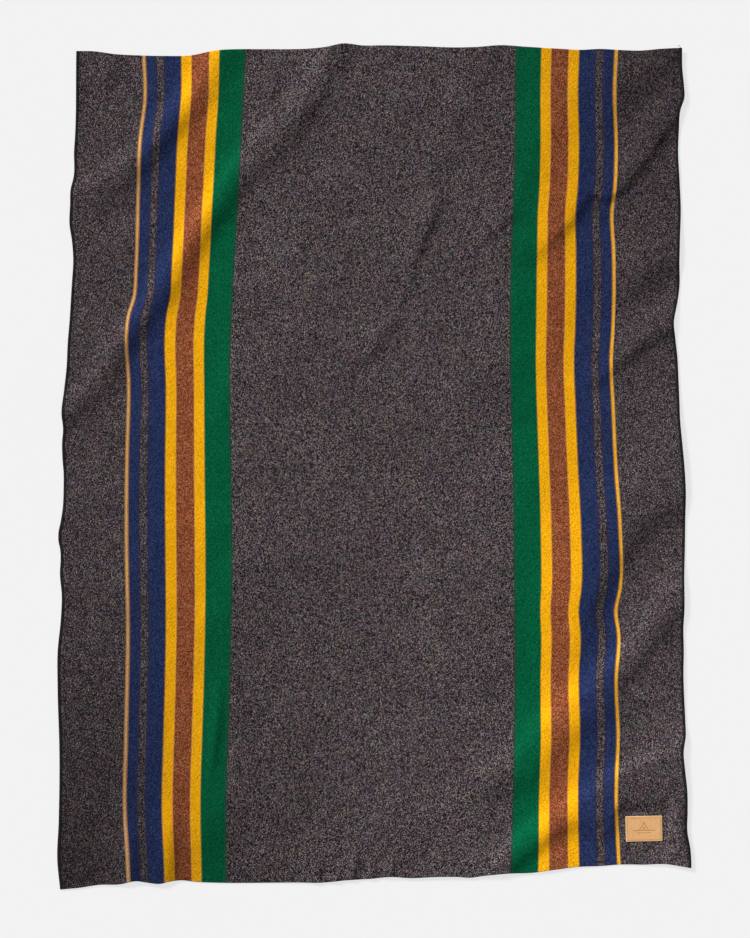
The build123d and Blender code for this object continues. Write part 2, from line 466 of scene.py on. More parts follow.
def new_uv(mesh, name, places):
    """A UV map from one place for each face corner."""
    mesh.uv_layers.new(name=name).data.foreach_set("uv", places.ravel().astype(np.float32))


# %% [markdown]
# Whoever takes the blanket into another program wants its colours as images. One image is square,
# and a stripe is up to two hundred times as long as it is wide. So a second UV map cuts the strip
# into chunks that lie side by side, upper and lower face in turn, with the narrow rims between.

# %% A square layout for long strips
def square_layout(mesh, flat, quads_long, quads_wide):
    """The second UV map of a closed sheet."""
    wide, long = flat.reshape(-1, 2).max(0) - flat.reshape(-1, 2).min(0)
    chunks = max(1, round(math.sqrt(long / (2 * wide))))
    chunk = np.mgrid[0:quads_long, 0:quads_wide][0] * chunks // quads_long
    first = -(-np.arange(chunks) * quads_long // chunks)
    chunk_corner = np.stack([np.full(chunks, flat[0, 0, 0]), flat[first, 0, 1]], -1)
    gap = 6 * MM
    shift = np.stack([chunk * 2 * (wide + gap), np.zeros(chunk.shape)], -1)
    top = quad_corners(flat) + (shift - chunk_corner[chunk])[:, :, None]
    under = top + (wide + gap, 0)
    left, right, foot, head = top[:, 0], top[:, -1], top[0], top[-1]
    out, up = np.array([thickness, 0]), np.array([0, thickness])
    rims = [
        (left[:, 0], left[:, 3], left[:, 3] - out, left[:, 0] - out),
        (right[:, 1], right[:, 1] + out, right[:, 2] + out, right[:, 2]),
        (foot[:, 0], foot[:, 0] - up, foot[:, 1] - up, foot[:, 1]),
        (head[:, 3], head[:, 2], head[:, 2] + up, head[:, 3] + up),
    ]
    rims = [np.stack(corners, 1).reshape(-1, 2) for corners in rims]
    places = np.concatenate([top.reshape(-1, 2), under[:, :, ::-1].reshape(-1, 2), *rims])
    spread = (places.max(0) - places.min(0)).max() + gap
    new_uv(mesh, "OFBake", (places - places.min(0) + gap / 2) / spread)


# %% [markdown]
# `closed_sheet` joins two grids of points, an upper and a lower face, by a rim of quads. The faces
# take their normals from the whole cloth, the rim takes its own.

# %% Closed sheets
def closed_sheet(name, top, bottom, top_normal, bottom_normal, flat):
    """A closed piece of cloth from the grids of its two faces, with its flat places as UVs."""
    tall, wide = top.shape[:2]
    index = np.arange(tall * wide).reshape(tall, wide)
    under = index + tall * wide
    left = np.stack([index[:-1, 0], index[1:, 0], under[1:, 0], under[:-1, 0]], -1)
    right = np.stack([index[:-1, -1], under[:-1, -1], under[1:, -1], index[1:, -1]], -1)
    foot = np.stack([index[0, :-1], under[0, :-1], under[0, 1:], index[0, 1:]], -1)
    head = np.stack([index[-1, :-1], index[-1, 1:], under[-1, 1:], under[-1, :-1]], -1)
    faces = np.concatenate([
        quad_corners(index).reshape(-1, 4), quad_corners(under)[..., ::-1].reshape(-1, 4),
        left, right, foot, head,
    ])
    points = np.concatenate([top.reshape(-1, 3), bottom.reshape(-1, 3)])
    piece = new_piece(name, points, faces.tolist())
    mesh = piece.data
    loops = faces.reshape(-1)
    places = np.concatenate([flat.reshape(-1, 2)] * 2)[loops]
    new_uv(mesh, "flat_cloth", places)
    square_layout(mesh, flat, tall - 1, wide - 1)
    shading = np.concatenate([top_normal.reshape(-1, 3), bottom_normal.reshape(-1, 3)])[loops]
    rim = 2 * (tall - 1) * (wide - 1)
    corners = points[faces[rim:]]
    flat_rim = np.cross(corners[:, 1] - corners[:, 0], corners[:, 3] - corners[:, 0])
    flat_rim /= np.linalg.norm(flat_rim, axis=1, keepdims=True)
    shading[4 * rim:] = np.repeat(flat_rim, 4, axis=0)
    mesh.polygons.foreach_set("use_smooth", np.ones(len(faces), dtype=bool))
    mesh.normals_split_custom_set(shading.tolist())
    mesh.update()
    return piece


# %% [markdown]
# With that, every band is one call with its own columns of the grid.

# %% The nineteen bands
flat = np.stack([flat_u, flat_v], axis=-1)
weft_pieces = {}
for node in band_order:
    cut = (slice(None), band_slices[node])
    piece = closed_sheet(
        f"{node}_weft", upper[cut], lower[cut], upper_normal[cut], lower_normal[cut], flat[cut]
    )
    weft_pieces[node] = piece
    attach(piece, "root")
    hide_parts(node)
    start, stop = band_edges[node]
print("weft bands", len(weft_pieces))

# %% [markdown]
# ## The warp
# The cotton warp is never seen in a weft-faced cloth. It is still modelled, as the thin layer that
# it is, so that the bands can be taken off it. A coarser grid is enough for a hidden piece: every
# third row and column, kept well inside the wool.

# %% Warp
every_third = (
    np.unique(np.r_[2:len(rows) - 2:3, len(rows) - 3]),
    np.unique(np.r_[1:len(columns) - 1:3, len(columns) - 2]),
)
warp_grid = np.ix_(*every_third)
warp_low, warp_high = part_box("cotton_warp")
warp_half = 0.35 * (warp_high[2] - warp_low[2])     # a little thinner than its slot in the wool
warp_up = middle_normal[warp_grid]
warp_piece = closed_sheet(
    "cotton_warp_yarns", middle[warp_grid] + warp_up * warp_half,
    middle[warp_grid] - warp_up * warp_half, warp_up, -warp_up, flat[warp_grid],
)
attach(warp_piece, "root")
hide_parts("cotton_warp")

# %% [markdown]
# ## Overlocked edges
# The two side edges are cut, so three black threads bind each of them. The needle thread lies in
# short stitches along the inside. The upper looper thread runs from there out to the edge and
# back, stitch after stitch, and the lower looper does the same underneath. A texture would look
# right from afar, but real loops are what breaks up the outline. Each thread is one long tube
# along a path of a few points per stitch.

# %% Thread tubes
never_ahead = np.array([0.31, 0.17, 0.93])      # a heading that no thread takes


def tube(name, path, radius, sides=6):
    """A closed tube of thread along a dense path."""
    path = np.asarray(path)
    ahead = np.gradient(path, axis=0)
    ahead /= np.linalg.norm(ahead, axis=1, keepdims=True)
    out = np.cross(ahead, never_ahead)
    out /= np.linalg.norm(out, axis=1, keepdims=True)
    over = np.cross(ahead, out)
    turn = np.linspace(0, 2 * math.pi, sides, endpoint=False)
    ring = out[:, None] * np.cos(turn)[:, None] + over[:, None] * np.sin(turn)[:, None]
    points = path[:, None] + ring * radius
    index = np.arange(len(path) * sides).reshape(len(path), sides)
    wrapped = np.concatenate([index, index[:, :1]], axis=1)
    faces = quad_corners(wrapped).reshape(-1, 4).tolist()
    faces += [index[0].tolist(), index[-1, ::-1].tolist()]
    piece = new_piece(name, points.reshape(-1, 3), faces)
    piece.data.polygons.foreach_set("use_smooth", np.ones(len(faces), dtype=bool))
    along = np.r_[0, np.cumsum(np.linalg.norm(np.diff(path, axis=0), axis=1))]
    loops = np.array([i for face in faces for i in face])
    around = (loops % sides) * 2 * math.pi * radius / sides
    new_uv(piece.data, "along_thread", np.stack([along[loops // sides], around], -1))
    print(name, "is", round(float(along[-1]), 2), "m of thread")
    return piece


# %% [markdown]
# A stitch is written once, as points: inset from the edge in millimetres, share of the stitch, and
# height above the cloth in millimetres. It is repeated down the edge, and a little wander keeps it
# from looking like a zip.

# %% Overlock stitches
stitch = 2.7 * MM
looper_radius = 0.56 * MM
needle_radius = 0.42 * MM
rng = np.random.default_rng(7)

looper_stitch = [(6.3, 0.00, 0.85), (4.2, 0.14, 1.0), (1.6, 0.30, 1.0), (0.0, 0.42, 0.75),
                 (-0.60, 0.50, 0.0), (-0.40, 0.58, 0.45), (0.6, 0.68, 0.95), (2.8, 0.82, 1.0),
                 (5.0, 0.94, 1.0)]
needle_stitch = [(6.5, 0.00, 0.2), (6.5, 0.12, 1.15), (6.5, 0.34, 1.5), (6.5, 0.66, 1.5),
                 (6.5, 0.88, 1.15)]


wander = 0.16                   # how uneven the stitches are, as a share


def stitched_path(side, shape, face, shift=0.0):
    """Points of one thread down a side edge: side is -1 or 1, face is -1 under or 1 over."""
    stitches = int(2 * half_length / stitch)
    start = -half_length + (2 * half_length - stitches * stitch) / 2
    inset, share, height = np.array(shape).T
    wobble = rng.normal(0, wander, (stitches, 1))
    v = start + stitch * (np.arange(stitches)[:, None] + share[None] + shift)
    v = np.clip(v + stitch * 0.2 * wobble, -half_length, half_length)
    u = side * (cut_edge - MM * (inset[None] + 0.5 * wobble * (inset[None] > 3)))
    lift = face * MM * np.broadcast_to(height[None], v.shape) * (0.92 + 0.3 * np.abs(wobble))
    return on_cloth(u.ravel(), v.ravel(), lift.ravel())


print("stitches down each edge", int(2 * half_length / stitch))

# %% [markdown]
# At the end of a seam the loopers make a chain with nothing in it, which is snipped off and leaves
# a short tail. It shows at one corner here, as a few more points of the upper looper thread.

# %% The six overlock threads
# (across, along, up) from the last stitch
tail_points = np.array([(0.0, 0.4, 0.1), (0.0, 2.5, 0.6), (-0.8, 5.0, 1.3), (-2.6, 6.6, 1.4),
                        (-4.8, 6.2, 1.1), (-6.4, 7.4, 0.8)]) * MM
tail_steps = np.arange(len(tail_points))
tail_shares = np.linspace(0, tail_steps[-1], 30)
corner_tail = np.array([smooth_line(np.c_[tail_steps, axis], tail_shares) for axis in tail_points.T]).T
overlock_pieces = []
for side, name in ((-1, "left"), (1, "right")):
    upper_path = stitched_path(side, looper_stitch, 1)
    if side > 0:
        upper_path = np.concatenate([upper_path, upper_path[-1] + corner_tail])
    threads = {
        f"upper_looper_thread_{name}": tube(f"upper_looper_{name}", upper_path, looper_radius),
        f"lower_looper_thread_{name}": tube(
            f"lower_looper_{name}", stitched_path(side, looper_stitch, -1, 0.5), looper_radius
        ),
        f"overlock_needle_thread_{name}": tube(
            f"needle_thread_{name}", stitched_path(side, needle_stitch, 1), needle_radius
        ),
    }
    for node, piece in threads.items():
        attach(piece, "root")
        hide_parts(node)
        overlock_pieces.append(piece)

# %% [markdown]
# ## Leather patch
# The patch is a plate of vegetable tanned leather with a line pressed in along its edge and a
# small tent stamped in the middle. Both are pressed into the mesh, because a stamp catches light
# in a way that a bump cannot from the side. The mesh is a fine grid that is pushed down wherever
# the stamp reaches, and its rim is rounded as a burnished edge is.

# %% Patch sizes and the stamp
patch_thick = patch_high[2] - patch_low[2]
patch_corner = 2.5 * MM
patch_turn = math.radians(1.2)
patch_centre = on_cloth(patch_flat[:1], patch_flat[1:], np.array([thickness / 2]))[0]
seam_inset = 5.0 * MM

# a tent on its ground line, each line from one point to another, in millimetres from the middle
tent_lines = [((-13, -5), (0, 14)), ((13, -5), (0, 14)), ((-30, -5), (30, -5)), ((0, 14), (-2, 17)),
              ((0, 14), (2, 17)), ((-4, -5), (0, 5)), ((4, -5), (0, 5)), ((-18, -11), (18, -11))]


def distance_to_line(x, y, start, stop):
    """How far a point is from a straight stroke."""
    ax, ay = start
    bx, by = stop
    t = np.clip(((x - ax) * (bx - ax) + (y - ay) * (by - ay)) / ((bx - ax) ** 2 + (by - ay) ** 2), 0, 1)
    return np.hypot(x - ax - t * (bx - ax), y - ay - t * (by - ay))


def inside_rounded(x, y, size, corner):
    """How far inside a rounded rectangle a point lies; negative outside."""
    dx, dy = np.abs(x) - size[0] / 2 + corner, np.abs(y) - size[1] / 2 + corner
    outside = np.hypot(np.maximum(dx, 0), np.maximum(dy, 0))
    return corner - outside - np.minimum(np.maximum(dx, dy), 0)


print("patch", patch_size.round(3), "thick", round(patch_thick, 4), "strokes", len(tent_lines))

# %% [markdown]
# Three things lower the leather's face: the stamp and the border line, the pull of the seam, and
# the rounding of the rim. Each is a soft dip around a line.

# %% The leather's face
border_inset, border_half = 2.6 * MM, 0.5 * MM
stroke_half, stroke_fade = 0.45, 0.5        # millimetres, as the strokes are
stamp_depth, border_share = 0.4 * MM, 0.8
seam_dip, seam_half = 0.35 * MM, 0.7 * MM
rim_radius = 0.8 * MM


def patch_pressing(x, y):
    """How deep the stamp presses at a point of the leather, from 0 to 1."""
    inside = inside_rounded(x, y, patch_size, patch_corner)
    border = np.exp(-((inside - border_inset) / border_half) ** 2)
    reach = np.min([distance_to_line(x / MM, y / MM, *line) for line in tent_lines], axis=0)
    return np.maximum(border_share * border, 1 - soft_step((reach - stroke_half) / stroke_fade))


def patch_surface(x, y):
    """Height of the leather's face below its full thickness, in metres."""
    inside = inside_rounded(x, y, patch_size, patch_corner)
    seam = seam_dip * np.exp(-((inside - seam_inset) / seam_half) ** 2)
    rounding = np.clip(1 - inside / rim_radius, 0, 1)
    rim = rim_radius * (1 - np.sqrt(np.clip(1 - rounding ** 2, 0, 1)))
    return -(stamp_depth * patch_pressing(x, y) + seam + rim)


print("stamp is", round(stamp_depth / patch_thick, 2), "of the leather's thickness deep")

# %% [markdown]
# The grid of the leather is turned by the degree or so that the patch was sewn on askew. In its
# corners the rows bend, so that the outline stays round without a cut.

# %% Grid and place of the patch
def place_patch(points):
    """Turns points of the patch's own plane on to the cloth."""
    turned = points.copy()
    c, s = math.cos(patch_turn), math.sin(patch_turn)
    turned[..., 0] = c * points[..., 0] - s * points[..., 1]
    turned[..., 1] = s * points[..., 0] + c * points[..., 1]
    return turned + patch_centre


def rounded_grid(size, corner, step):
    """A grid over a rounded rectangle: its outer rows follow the corners."""
    counts = [int(side / step) for side in size]
    s, t = np.meshgrid(np.linspace(-1, 1, counts[0]), np.linspace(-1, 1, counts[1]))
    x, y = s * size[0] / 2, t * size[1] / 2
    dx, dy = np.abs(x) - size[0] / 2 + corner, np.abs(y) - size[1] / 2 + corner
    in_corner = (dx > 0) & (dy > 0)
    far = np.maximum(dx, dy)
    round_off = np.where(in_corner, far / np.maximum(np.hypot(dx, dy), 1e-9), 1)
    x = np.where(in_corner, np.sign(x) * (size[0] / 2 - corner + dx * round_off), x)
    y = np.where(in_corner, np.sign(y) * (size[1] / 2 - corner + dy * round_off), y)
    return x, y


def plain_normals(points):
    """Normals of a grid with even steps."""
    normal = np.cross(np.gradient(points, axis=1), np.gradient(points, axis=0))
    return normal / np.maximum(np.linalg.norm(normal, axis=-1, keepdims=True), 1e-12)


px, py = rounded_grid(patch_size, patch_corner, 0.5 * MM)
face_up = place_patch(np.stack([px, py, patch_thick + patch_surface(px, py)], -1))
face_down = place_patch(np.stack([px, py, np.zeros(px.shape)], -1))
print("leather grid", px.shape, "turned", round(math.degrees(patch_turn), 1), "degrees")

# %% [markdown]
# The material will need to know where the stamp pressed and where the rim is burnished. Both are
# stored on the mesh as point attributes, which a shader can read by name.

# %% The patch
burnished = 2.0 * MM       # width of the burnished rim
patch_piece = closed_sheet(
    "leather_patch_hide", face_up, face_down, plain_normals(face_up), -plain_normals(face_down),
    np.stack([px, py], -1),
)
pressing = patch_piece.data.attributes.new("pressed", "FLOAT", "POINT")
pressing.data.foreach_set("value", np.r_[patch_pressing(px, py).ravel(), np.zeros(px.size)])
burnish = patch_piece.data.attributes.new("rim", "FLOAT", "POINT")
rim_share = np.clip(1 - inside_rounded(px, py, patch_size, patch_corner).ravel() / burnished, 0, 1)
burnish.data.foreach_set("value", np.r_[rim_share, np.ones(px.size)])
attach(patch_piece, "root")
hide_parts("leather_patch")
print("patch lies at", patch_centre.round(3))

# %% [markdown]
# The patch is sewn on with a lockstitch. The top thread shows on the leather as a row of short
# bars that sink into their needle holes, and the bobbin thread shows the same way underneath.

# %% Patch seam
seam_stitch = 5.0 * MM
seam_radius = 0.42 * MM
seam_sides = patch_size - 2 * seam_inset
hole_dip = -1.6                 # the thread at a needle hole and over a stitch, in thread radii
stitch_shape = ((0.0, hole_dip), (0.14, 0.3), (0.3, 0.9), (0.5, 1.0), (0.7, 0.9), (0.86, 0.3))


def seam_rectangle():
    """Needle holes round the seam, in order."""
    counts = [round(side / seam_stitch) for side in seam_sides]
    x, y = seam_sides / 2
    along = np.linspace(-x, x, counts[0] + 1)
    up = np.linspace(-y, y, counts[1] + 1)
    holes = [(a, -y) for a in along] + [(x, b) for b in up[1:]]
    holes += [(a, y) for a in along[::-1][1:]] + [(-x, b) for b in up[::-1][1:]]
    return np.array(holes)


def seam_path(level):
    """The thread's path over the needle holes: up over each stitch and down into each hole."""
    holes = seam_rectangle()
    path = []
    for a, b in zip(holes[:-1], holes[1:]):
        for share, rise in stitch_shape:
            x, y = a + share * (b - a)
            path.append((x, y, level(rise)))
    return place_patch(np.array(path))


top_level = patch_thick - seam_dip
bobbin_level = 0.45 * MM - thickness        # just inside the cloth's underside
top_path = seam_path(lambda rise: top_level + rise * seam_radius)
bobbin_path = seam_path(lambda rise: bobbin_level - rise * seam_radius)
seam_pieces = []
for node, name, path in (("patch_top_thread", "patch_top_stitches", top_path),
                         ("patch_bobbin_thread", "patch_bobbin_stitches", bobbin_path)):
    piece = tube(name, path, seam_radius, sides=8)
    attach(piece, "root")
    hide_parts(node)
    seam_pieces.append(piece)
print("needle holes", len(seam_rectangle()))

# %% [markdown]
# ## Building materials
# A node tree is easier to read as a few lines than as a screenshot. `add` makes one node and
# fills or links its inputs, `maths` is the short form for arithmetic, and `blend_colour` mixes two
# colours. Colours are written as a paint shop would, in sRGB.

# %% Node helpers
def paint(hexed):
    """An sRGB colour such as "#e2a414" as the linear colour that shaders use."""
    values = [int(hexed[i:i + 2], 16) / 255 for i in (1, 3, 5)]
    return (*[v / 12.92 if v <= 0.04045 else ((v + 0.055) / 1.055) ** 2.4 for v in values], 1.0)


def add(tree, kind, inputs=None, **settings):
    """A new node: inputs are linked if they are sockets and filled if they are values."""
    node = tree.nodes.new(kind)
    for key, value in settings.items():
        setattr(node, key, value)
    for key, value in (inputs or {}).items():
        if isinstance(value, bpy.types.NodeSocket):
            tree.links.new(value, node.inputs[key])
        else:
            node.inputs[key].default_value = value
    return node


def maths(tree, operation, a, b=0.0, c=0.0, clamp=False):
    """The result of one Math node."""
    terms = {0: a, 1: b, 2: c}
    return add(tree, "ShaderNodeMath", terms, operation=operation, use_clamp=clamp).outputs[0]


def blend_colour(tree, share, a, b, mode="MIX"):
    """The result of one Mix node: colour a, and colour b over it by share."""
    node = add(tree, "ShaderNodeMix", data_type="RGBA", blend_type=mode)
    for socket, value in ((node.inputs["Factor"], share), (node.inputs[6], a), (node.inputs[7], b)):
        if isinstance(value, bpy.types.NodeSocket):
            tree.links.new(value, socket)
        else:
            socket.default_value = value
    return node.outputs[2]


print("gold as a shader colour", [round(v, 3) for v in paint("#f0a800")])

# %% [markdown]
# An effect that several materials share is a node group, made once. `new_group` makes one with
# named inputs and outputs, and `place_group` puts it into a material with that material's values.

# %% Group helpers
def new_group(name, inputs, outputs):
    """A node group: inputs as {name: default}, outputs as {name: socket type}."""
    group = bpy.data.node_groups.new(name, "ShaderNodeTree")
    for label, default in inputs.items():
        kind = "NodeSocketFloat"
        if isinstance(default, tuple):
            kind = "NodeSocketColor" if len(default) == 4 else "NodeSocketVector"
        socket = group.interface.new_socket(label, in_out="INPUT", socket_type=kind)
        socket.default_value = default
    for label, kind in outputs.items():
        group.interface.new_socket(label, in_out="OUTPUT", socket_type=kind)
    print("group", name, "takes", list(inputs), "and gives", list(outputs))
    return group, add(group, "NodeGroupInput").outputs, add(group, "NodeGroupOutput").inputs


def place_group(tree, group, **inputs):
    """A group inside a material; an input named Yarn_Width stands for its socket Yarn Width."""
    values = {label.replace("_", " "): value for label, value in inputs.items()}
    return add(tree, "ShaderNodeGroup", values, node_tree=group)


# %% [markdown]
# ## Wool: weave under a nap
# In a weft-faced twill only the weft shows, as short floats of yarn, each one step further than
# its neighbour, so they line up on the slant. Fulling then draws fibres out over them. The group
# builds one height from the three sizes: floats, the tufts of the nap, and single fibres. It also
# gives the hollows between floats, which look darker because light gets lost in them.

# %% Group: weave and nap
weave, given, result = new_group(
    "fulled_weave",
    {"Place": (0.0, 0.0, 0.0), "Yarn Width": 0.0019, "Float Length": 0.0057, "Nap": 1.0},
    {"Height": "NodeSocketFloat", "Hollow": "NodeSocketFloat", "Fibre": "NodeSocketFloat"},
)
bend = add(weave, "ShaderNodeTexNoise", {"Vector": given["Place"], "Scale": 120.0, "Detail": 1.0})
bent = add(weave, "ShaderNodeSeparateXYZ", {0: bend.outputs["Color"]})
flat_xy = add(weave, "ShaderNodeSeparateXYZ", {0: given["Place"]})
across = maths(weave, "DIVIDE", flat_xy.outputs[0], given["Yarn Width"])
across = maths(weave, "ADD", across, bent.outputs[0])
yarn = maths(weave, "FLOOR", across)
up = maths(weave, "DIVIDE", flat_xy.outputs[1], given["Float Length"])
up = maths(weave, "ADD", up, maths(weave, "MULTIPLY_ADD", yarn, -0.3333, bent.outputs[1]))
side_x = maths(weave, "MULTIPLY_ADD", maths(weave, "FRACT", across), 2.0, -1.0)
side_y = maths(weave, "MULTIPLY_ADD", maths(weave, "FRACT", up), 2.0, -1.0)
round_x = maths(weave, "SUBTRACT", 1.0, maths(weave, "POWER", maths(weave, "ABSOLUTE", side_x), 2.4))
round_y = maths(weave, "SUBTRACT", 1.0, maths(weave, "POWER", maths(weave, "ABSOLUTE", side_y), 3.0))
float_height = maths(weave, "MULTIPLY", round_x, round_y)
slanted = add(weave, "ShaderNodeMapping", {"Vector": given["Place"], "Rotation": (0.0, 0.0, 0.84),
                                           "Scale": (0.0085, 0.0048, 1.0)}, vector_type="TEXTURE")
tufts = add(weave, "ShaderNodeTexNoise", {"Vector": slanted.outputs[0], "Scale": 1.0, "Detail": 2.5,
                                          "Roughness": 0.6}).outputs["Fac"]
fibre = add(weave, "ShaderNodeTexNoise", {"Vector": given["Place"], "Scale": 900.0, "Detail": 3.0,
                                          "Roughness": 0.65}).outputs["Fac"]
tuft_height = maths(weave, "MULTIPLY", maths(weave, "MULTIPLY", tufts, 3.2), given["Nap"])
height = maths(weave, "MULTIPLY_ADD", float_height, 0.35, tuft_height)
height = maths(weave, "MULTIPLY_ADD", fibre, 0.55, height)
weave.links.new(height, result["Height"])
hollow = maths(weave, "SUBTRACT", 1.0, maths(weave, "MULTIPLY_ADD", float_height, 0.7, 0.3))
weave.links.new(hollow, result["Hollow"])
weave.links.new(fibre, result["Fibre"])

# %% [markdown]
# ## Wool: the heather
# Heathered yarn is spun from fibres dyed in several shades, so it breaks up into light and dark
# flecks a few millimetres long. Voronoi cells give irregular flecks that do not repeat, and a fine
# noise frays their outlines, or they would look like a mosaic from close by. `Balance` is the level
# above which a fleck is light and below which it is dark. Two slow clouds stand for the uneven
# batch. The last input paints shade and light into the colour for the uneven light over the cloth:
# darker near the upper right and lower left corners, lighter near the lower right one.

# %% Group: heathered yarn
heather, given, result = new_group(
    "heather",
    {"Place": (0.0, 0.0, 0.0), "Fibre": 0.5, "Hollow": 0.0, "Yarn": (0.1, 0.1, 0.1, 1.0),
     "Light Fleck": (0.3, 0.3, 0.3, 1.0), "Dark Fleck": (0.02, 0.02, 0.02, 1.0), "Speckle": 2.0,
     "Balance": 0.7, "Hue Drift": 0.1, "Cloud": 0.1, "Sweep": 0.1},
    {"Colour": "NodeSocketColor"},
)
wisps = add(heather, "ShaderNodeTexNoise", {"Vector": given["Place"], "Scale": 1000.0, "Detail": 3.0,
                                            "Roughness": 0.75})
frayed = add(heather, "ShaderNodeVectorMath", {0: wisps.outputs["Color"], 1: (0.0036, 0.0036, 0.0),
                                               2: given["Place"]}, operation="MULTIPLY_ADD")
slanted = add(heather, "ShaderNodeMapping", {"Vector": frayed.outputs[0], "Rotation": (0.0, 0.0, 0.8),
                                             "Scale": (0.0019, 0.0014, 1.0)}, vector_type="TEXTURE")
cells = add(heather, "ShaderNodeTexVoronoi", {"Vector": slanted.outputs[0], "Scale": 1.0,
                                              "Randomness": 1.0}, voronoi_dimensions="2D")
chance = add(heather, "ShaderNodeSeparateColor", {0: cells.outputs["Color"]})
fleck = maths(heather, "ADD", chance.outputs[0], chance.outputs[1])
fleck = maths(heather, "MULTIPLY_ADD", fleck, 0.35, maths(heather, "MULTIPLY", given["Fibre"], 0.7))
fleck = maths(heather, "SUBTRACT", fleck, given["Balance"])
fleck = maths(heather, "MULTIPLY", fleck, given["Speckle"])
colour = blend_colour(heather, maths(heather, "MAXIMUM", fleck, 0.0, clamp=True), given["Yarn"],
                      given["Light Fleck"])
colour = blend_colour(heather, maths(heather, "MULTIPLY", fleck, -1.0, clamp=True), colour,
                      given["Dark Fleck"])
patchy = add(heather, "ShaderNodeTexNoise", {"Vector": given["Place"], "Scale": 30.0, "Detail": 3.0})
slow = add(heather, "ShaderNodeTexNoise", {"Vector": given["Place"], "Scale": 5.0, "Detail": 2.0})
colour = blend_colour(heather, given["Hue Drift"], colour, patchy.outputs["Color"], "SOFT_LIGHT")
colour = blend_colour(heather, given["Hue Drift"], colour, cells.outputs["Color"], "SOFT_LIGHT")
cloudy = maths(heather, "ADD", patchy.outputs["Fac"], slow.outputs["Fac"])
shade = maths(heather, "MULTIPLY_ADD", maths(heather, "SUBTRACT", cloudy, 1.0), given["Cloud"], 1.0)
# Painted shade and painted light: darker towards the upper right and lower left corners, lighter
# towards the lower right one.
flat_xy = add(heather, "ShaderNodeSeparateXYZ", {0: given["Place"]})
right = maths(heather, "MAXIMUM", flat_xy.outputs[0], 0.0)
left = maths(heather, "MAXIMUM", maths(heather, "MULTIPLY", flat_xy.outputs[0], -1.0), 0.0)
head = maths(heather, "MAXIMUM", flat_xy.outputs[1], 0.0)
foot = maths(heather, "MAXIMUM", maths(heather, "MULTIPLY", flat_xy.outputs[1], -1.0), 0.0)
lower = maths(heather, "MULTIPLY_ADD", left, 1.5, maths(heather, "MULTIPLY", right, -0.75))
corners = maths(heather, "MULTIPLY_ADD", right, head, maths(heather, "MULTIPLY", lower, foot))
corner_shading_factor = maths(heather, "MULTIPLY_ADD", maths(heather, "MULTIPLY", corners, given["Sweep"]), -1.0, 1.0)
shade = maths(heather, "MULTIPLY", shade, corner_shading_factor)
# Painted shade: the colour is darker in the hollows between floats.
shade = maths(heather, "MULTIPLY", shade, maths(heather, "MULTIPLY_ADD", given["Hollow"], -0.28, 1.08))
tone = add(heather, "ShaderNodeCombineColor", {0: shade, 1: shade, 2: shade}).outputs[0]
heather.links.new(blend_colour(heather, 1.0, colour, tone, "MULTIPLY"), result["Colour"])

# %% [markdown]
# ## Wool: stray fibres at a stripe edge
# A stripe edge is never a ruled line. The two yarns part a little, and the shade in the gap between
# them is painted in as a darker line. Fulling draws fibres of each yarn over the other, thinning out
# within a few millimetres. The group makes a mask for each of the two from the distance to the edge.

# %% Group: stray fibres
stray, given, result = new_group(
    "stray_fibres",
    {"Place": (0.0, 0.0, 0.0), "Edge": 0.0, "Reach": 0.003, "Ragged": 1.6, "Parting": 0.0014},
    {"Strays": "NodeSocketFloat", "Parting Shade": "NodeSocketFloat"},
)
edge_x = add(stray, "ShaderNodeSeparateXYZ", {0: given["Place"]}).outputs[0]
gap = maths(stray, "ABSOLUTE", maths(stray, "SUBTRACT", edge_x, given["Edge"]))
tuft = add(stray, "ShaderNodeTexNoise", {"Vector": given["Place"], "Scale": 260.0, "Detail": 3.0,
                                         "Roughness": 0.75}).outputs["Fac"]
ragged = maths(stray, "MULTIPLY", maths(stray, "SUBTRACT", tuft, 0.5), given["Ragged"])
double_reach = maths(stray, "MULTIPLY", given["Reach"], 2.0)
thinning = maths(stray, "SUBTRACT", 0.5, maths(stray, "DIVIDE", gap, double_reach))
near = maths(stray, "MULTIPLY", thinning, 8.0, clamp=True)
mask = maths(stray, "ADD", thinning, maths(stray, "MULTIPLY", ragged, near), clamp=True)
stray.links.new(mask, result["Strays"])
width = maths(stray, "MULTIPLY", maths(stray, "MULTIPLY_ADD", tuft, 1.6, 0.2), given["Parting"])
line = maths(stray, "SUBTRACT", 1.4, maths(stray, "DIVIDE", gap, width), clamp=True)
stray.links.new(line, result["Parting Shade"])

# %% [markdown]
# ## Wool: one finish for every band
# All bands share one recipe: weave and nap, heather, and the edges with both neighbours. Only the
# yarn's values differ, and they are listed by material slot. Reach and parting are in metres.

# %% Yarn values
yarns = {
    "wool_charcoal": dict(yarn="#352c31", light="#8c8087", dark="#110e11", speckle=5.6, balance=0.76,
                          drift=0.24, cloud=0.26, nap=0.45, reach=0.0055, parting=0.0006),
    "wool_gold": dict(yarn="#f0a800", light="#ffc634", dark="#5a3206", speckle=1.9, balance=0.7,
                      drift=0.06, cloud=0.12, nap=1.1, reach=0.0024, parting=0.0018),
    "wool_navy": dict(yarn="#1c274e", light="#46557f", dark="#0c0e1c", speckle=2.4, balance=0.72,
                      drift=0.10, cloud=0.16, nap=1.0, reach=0.0050, parting=0.0018),
    "wool_brown": dict(yarn="#7e3b1c", light="#bf7f60", dark="#42200f", speckle=3.4, balance=0.72,
                       drift=0.16, cloud=0.18, nap=0.6, reach=0.0030, parting=0.0003),
    "wool_green": dict(yarn="#005033", light="#0f7249", dark="#00331c", speckle=2.8, balance=0.7,
                       drift=0.06, cloud=0.18, nap=1.3, reach=0.0055, parting=0.0006),
}
slot_of = {s["node"]: s["material_slot"] for s in frame["record"]["subparts"]}
# strength of the painted shade and painted light at the corners of the cloth
painted_corner_shading = 0.36
calm_share = 0.78       # charcoal yarn of the margins and pinstripes is spun a little more evenly
print("yarns", list(yarns))
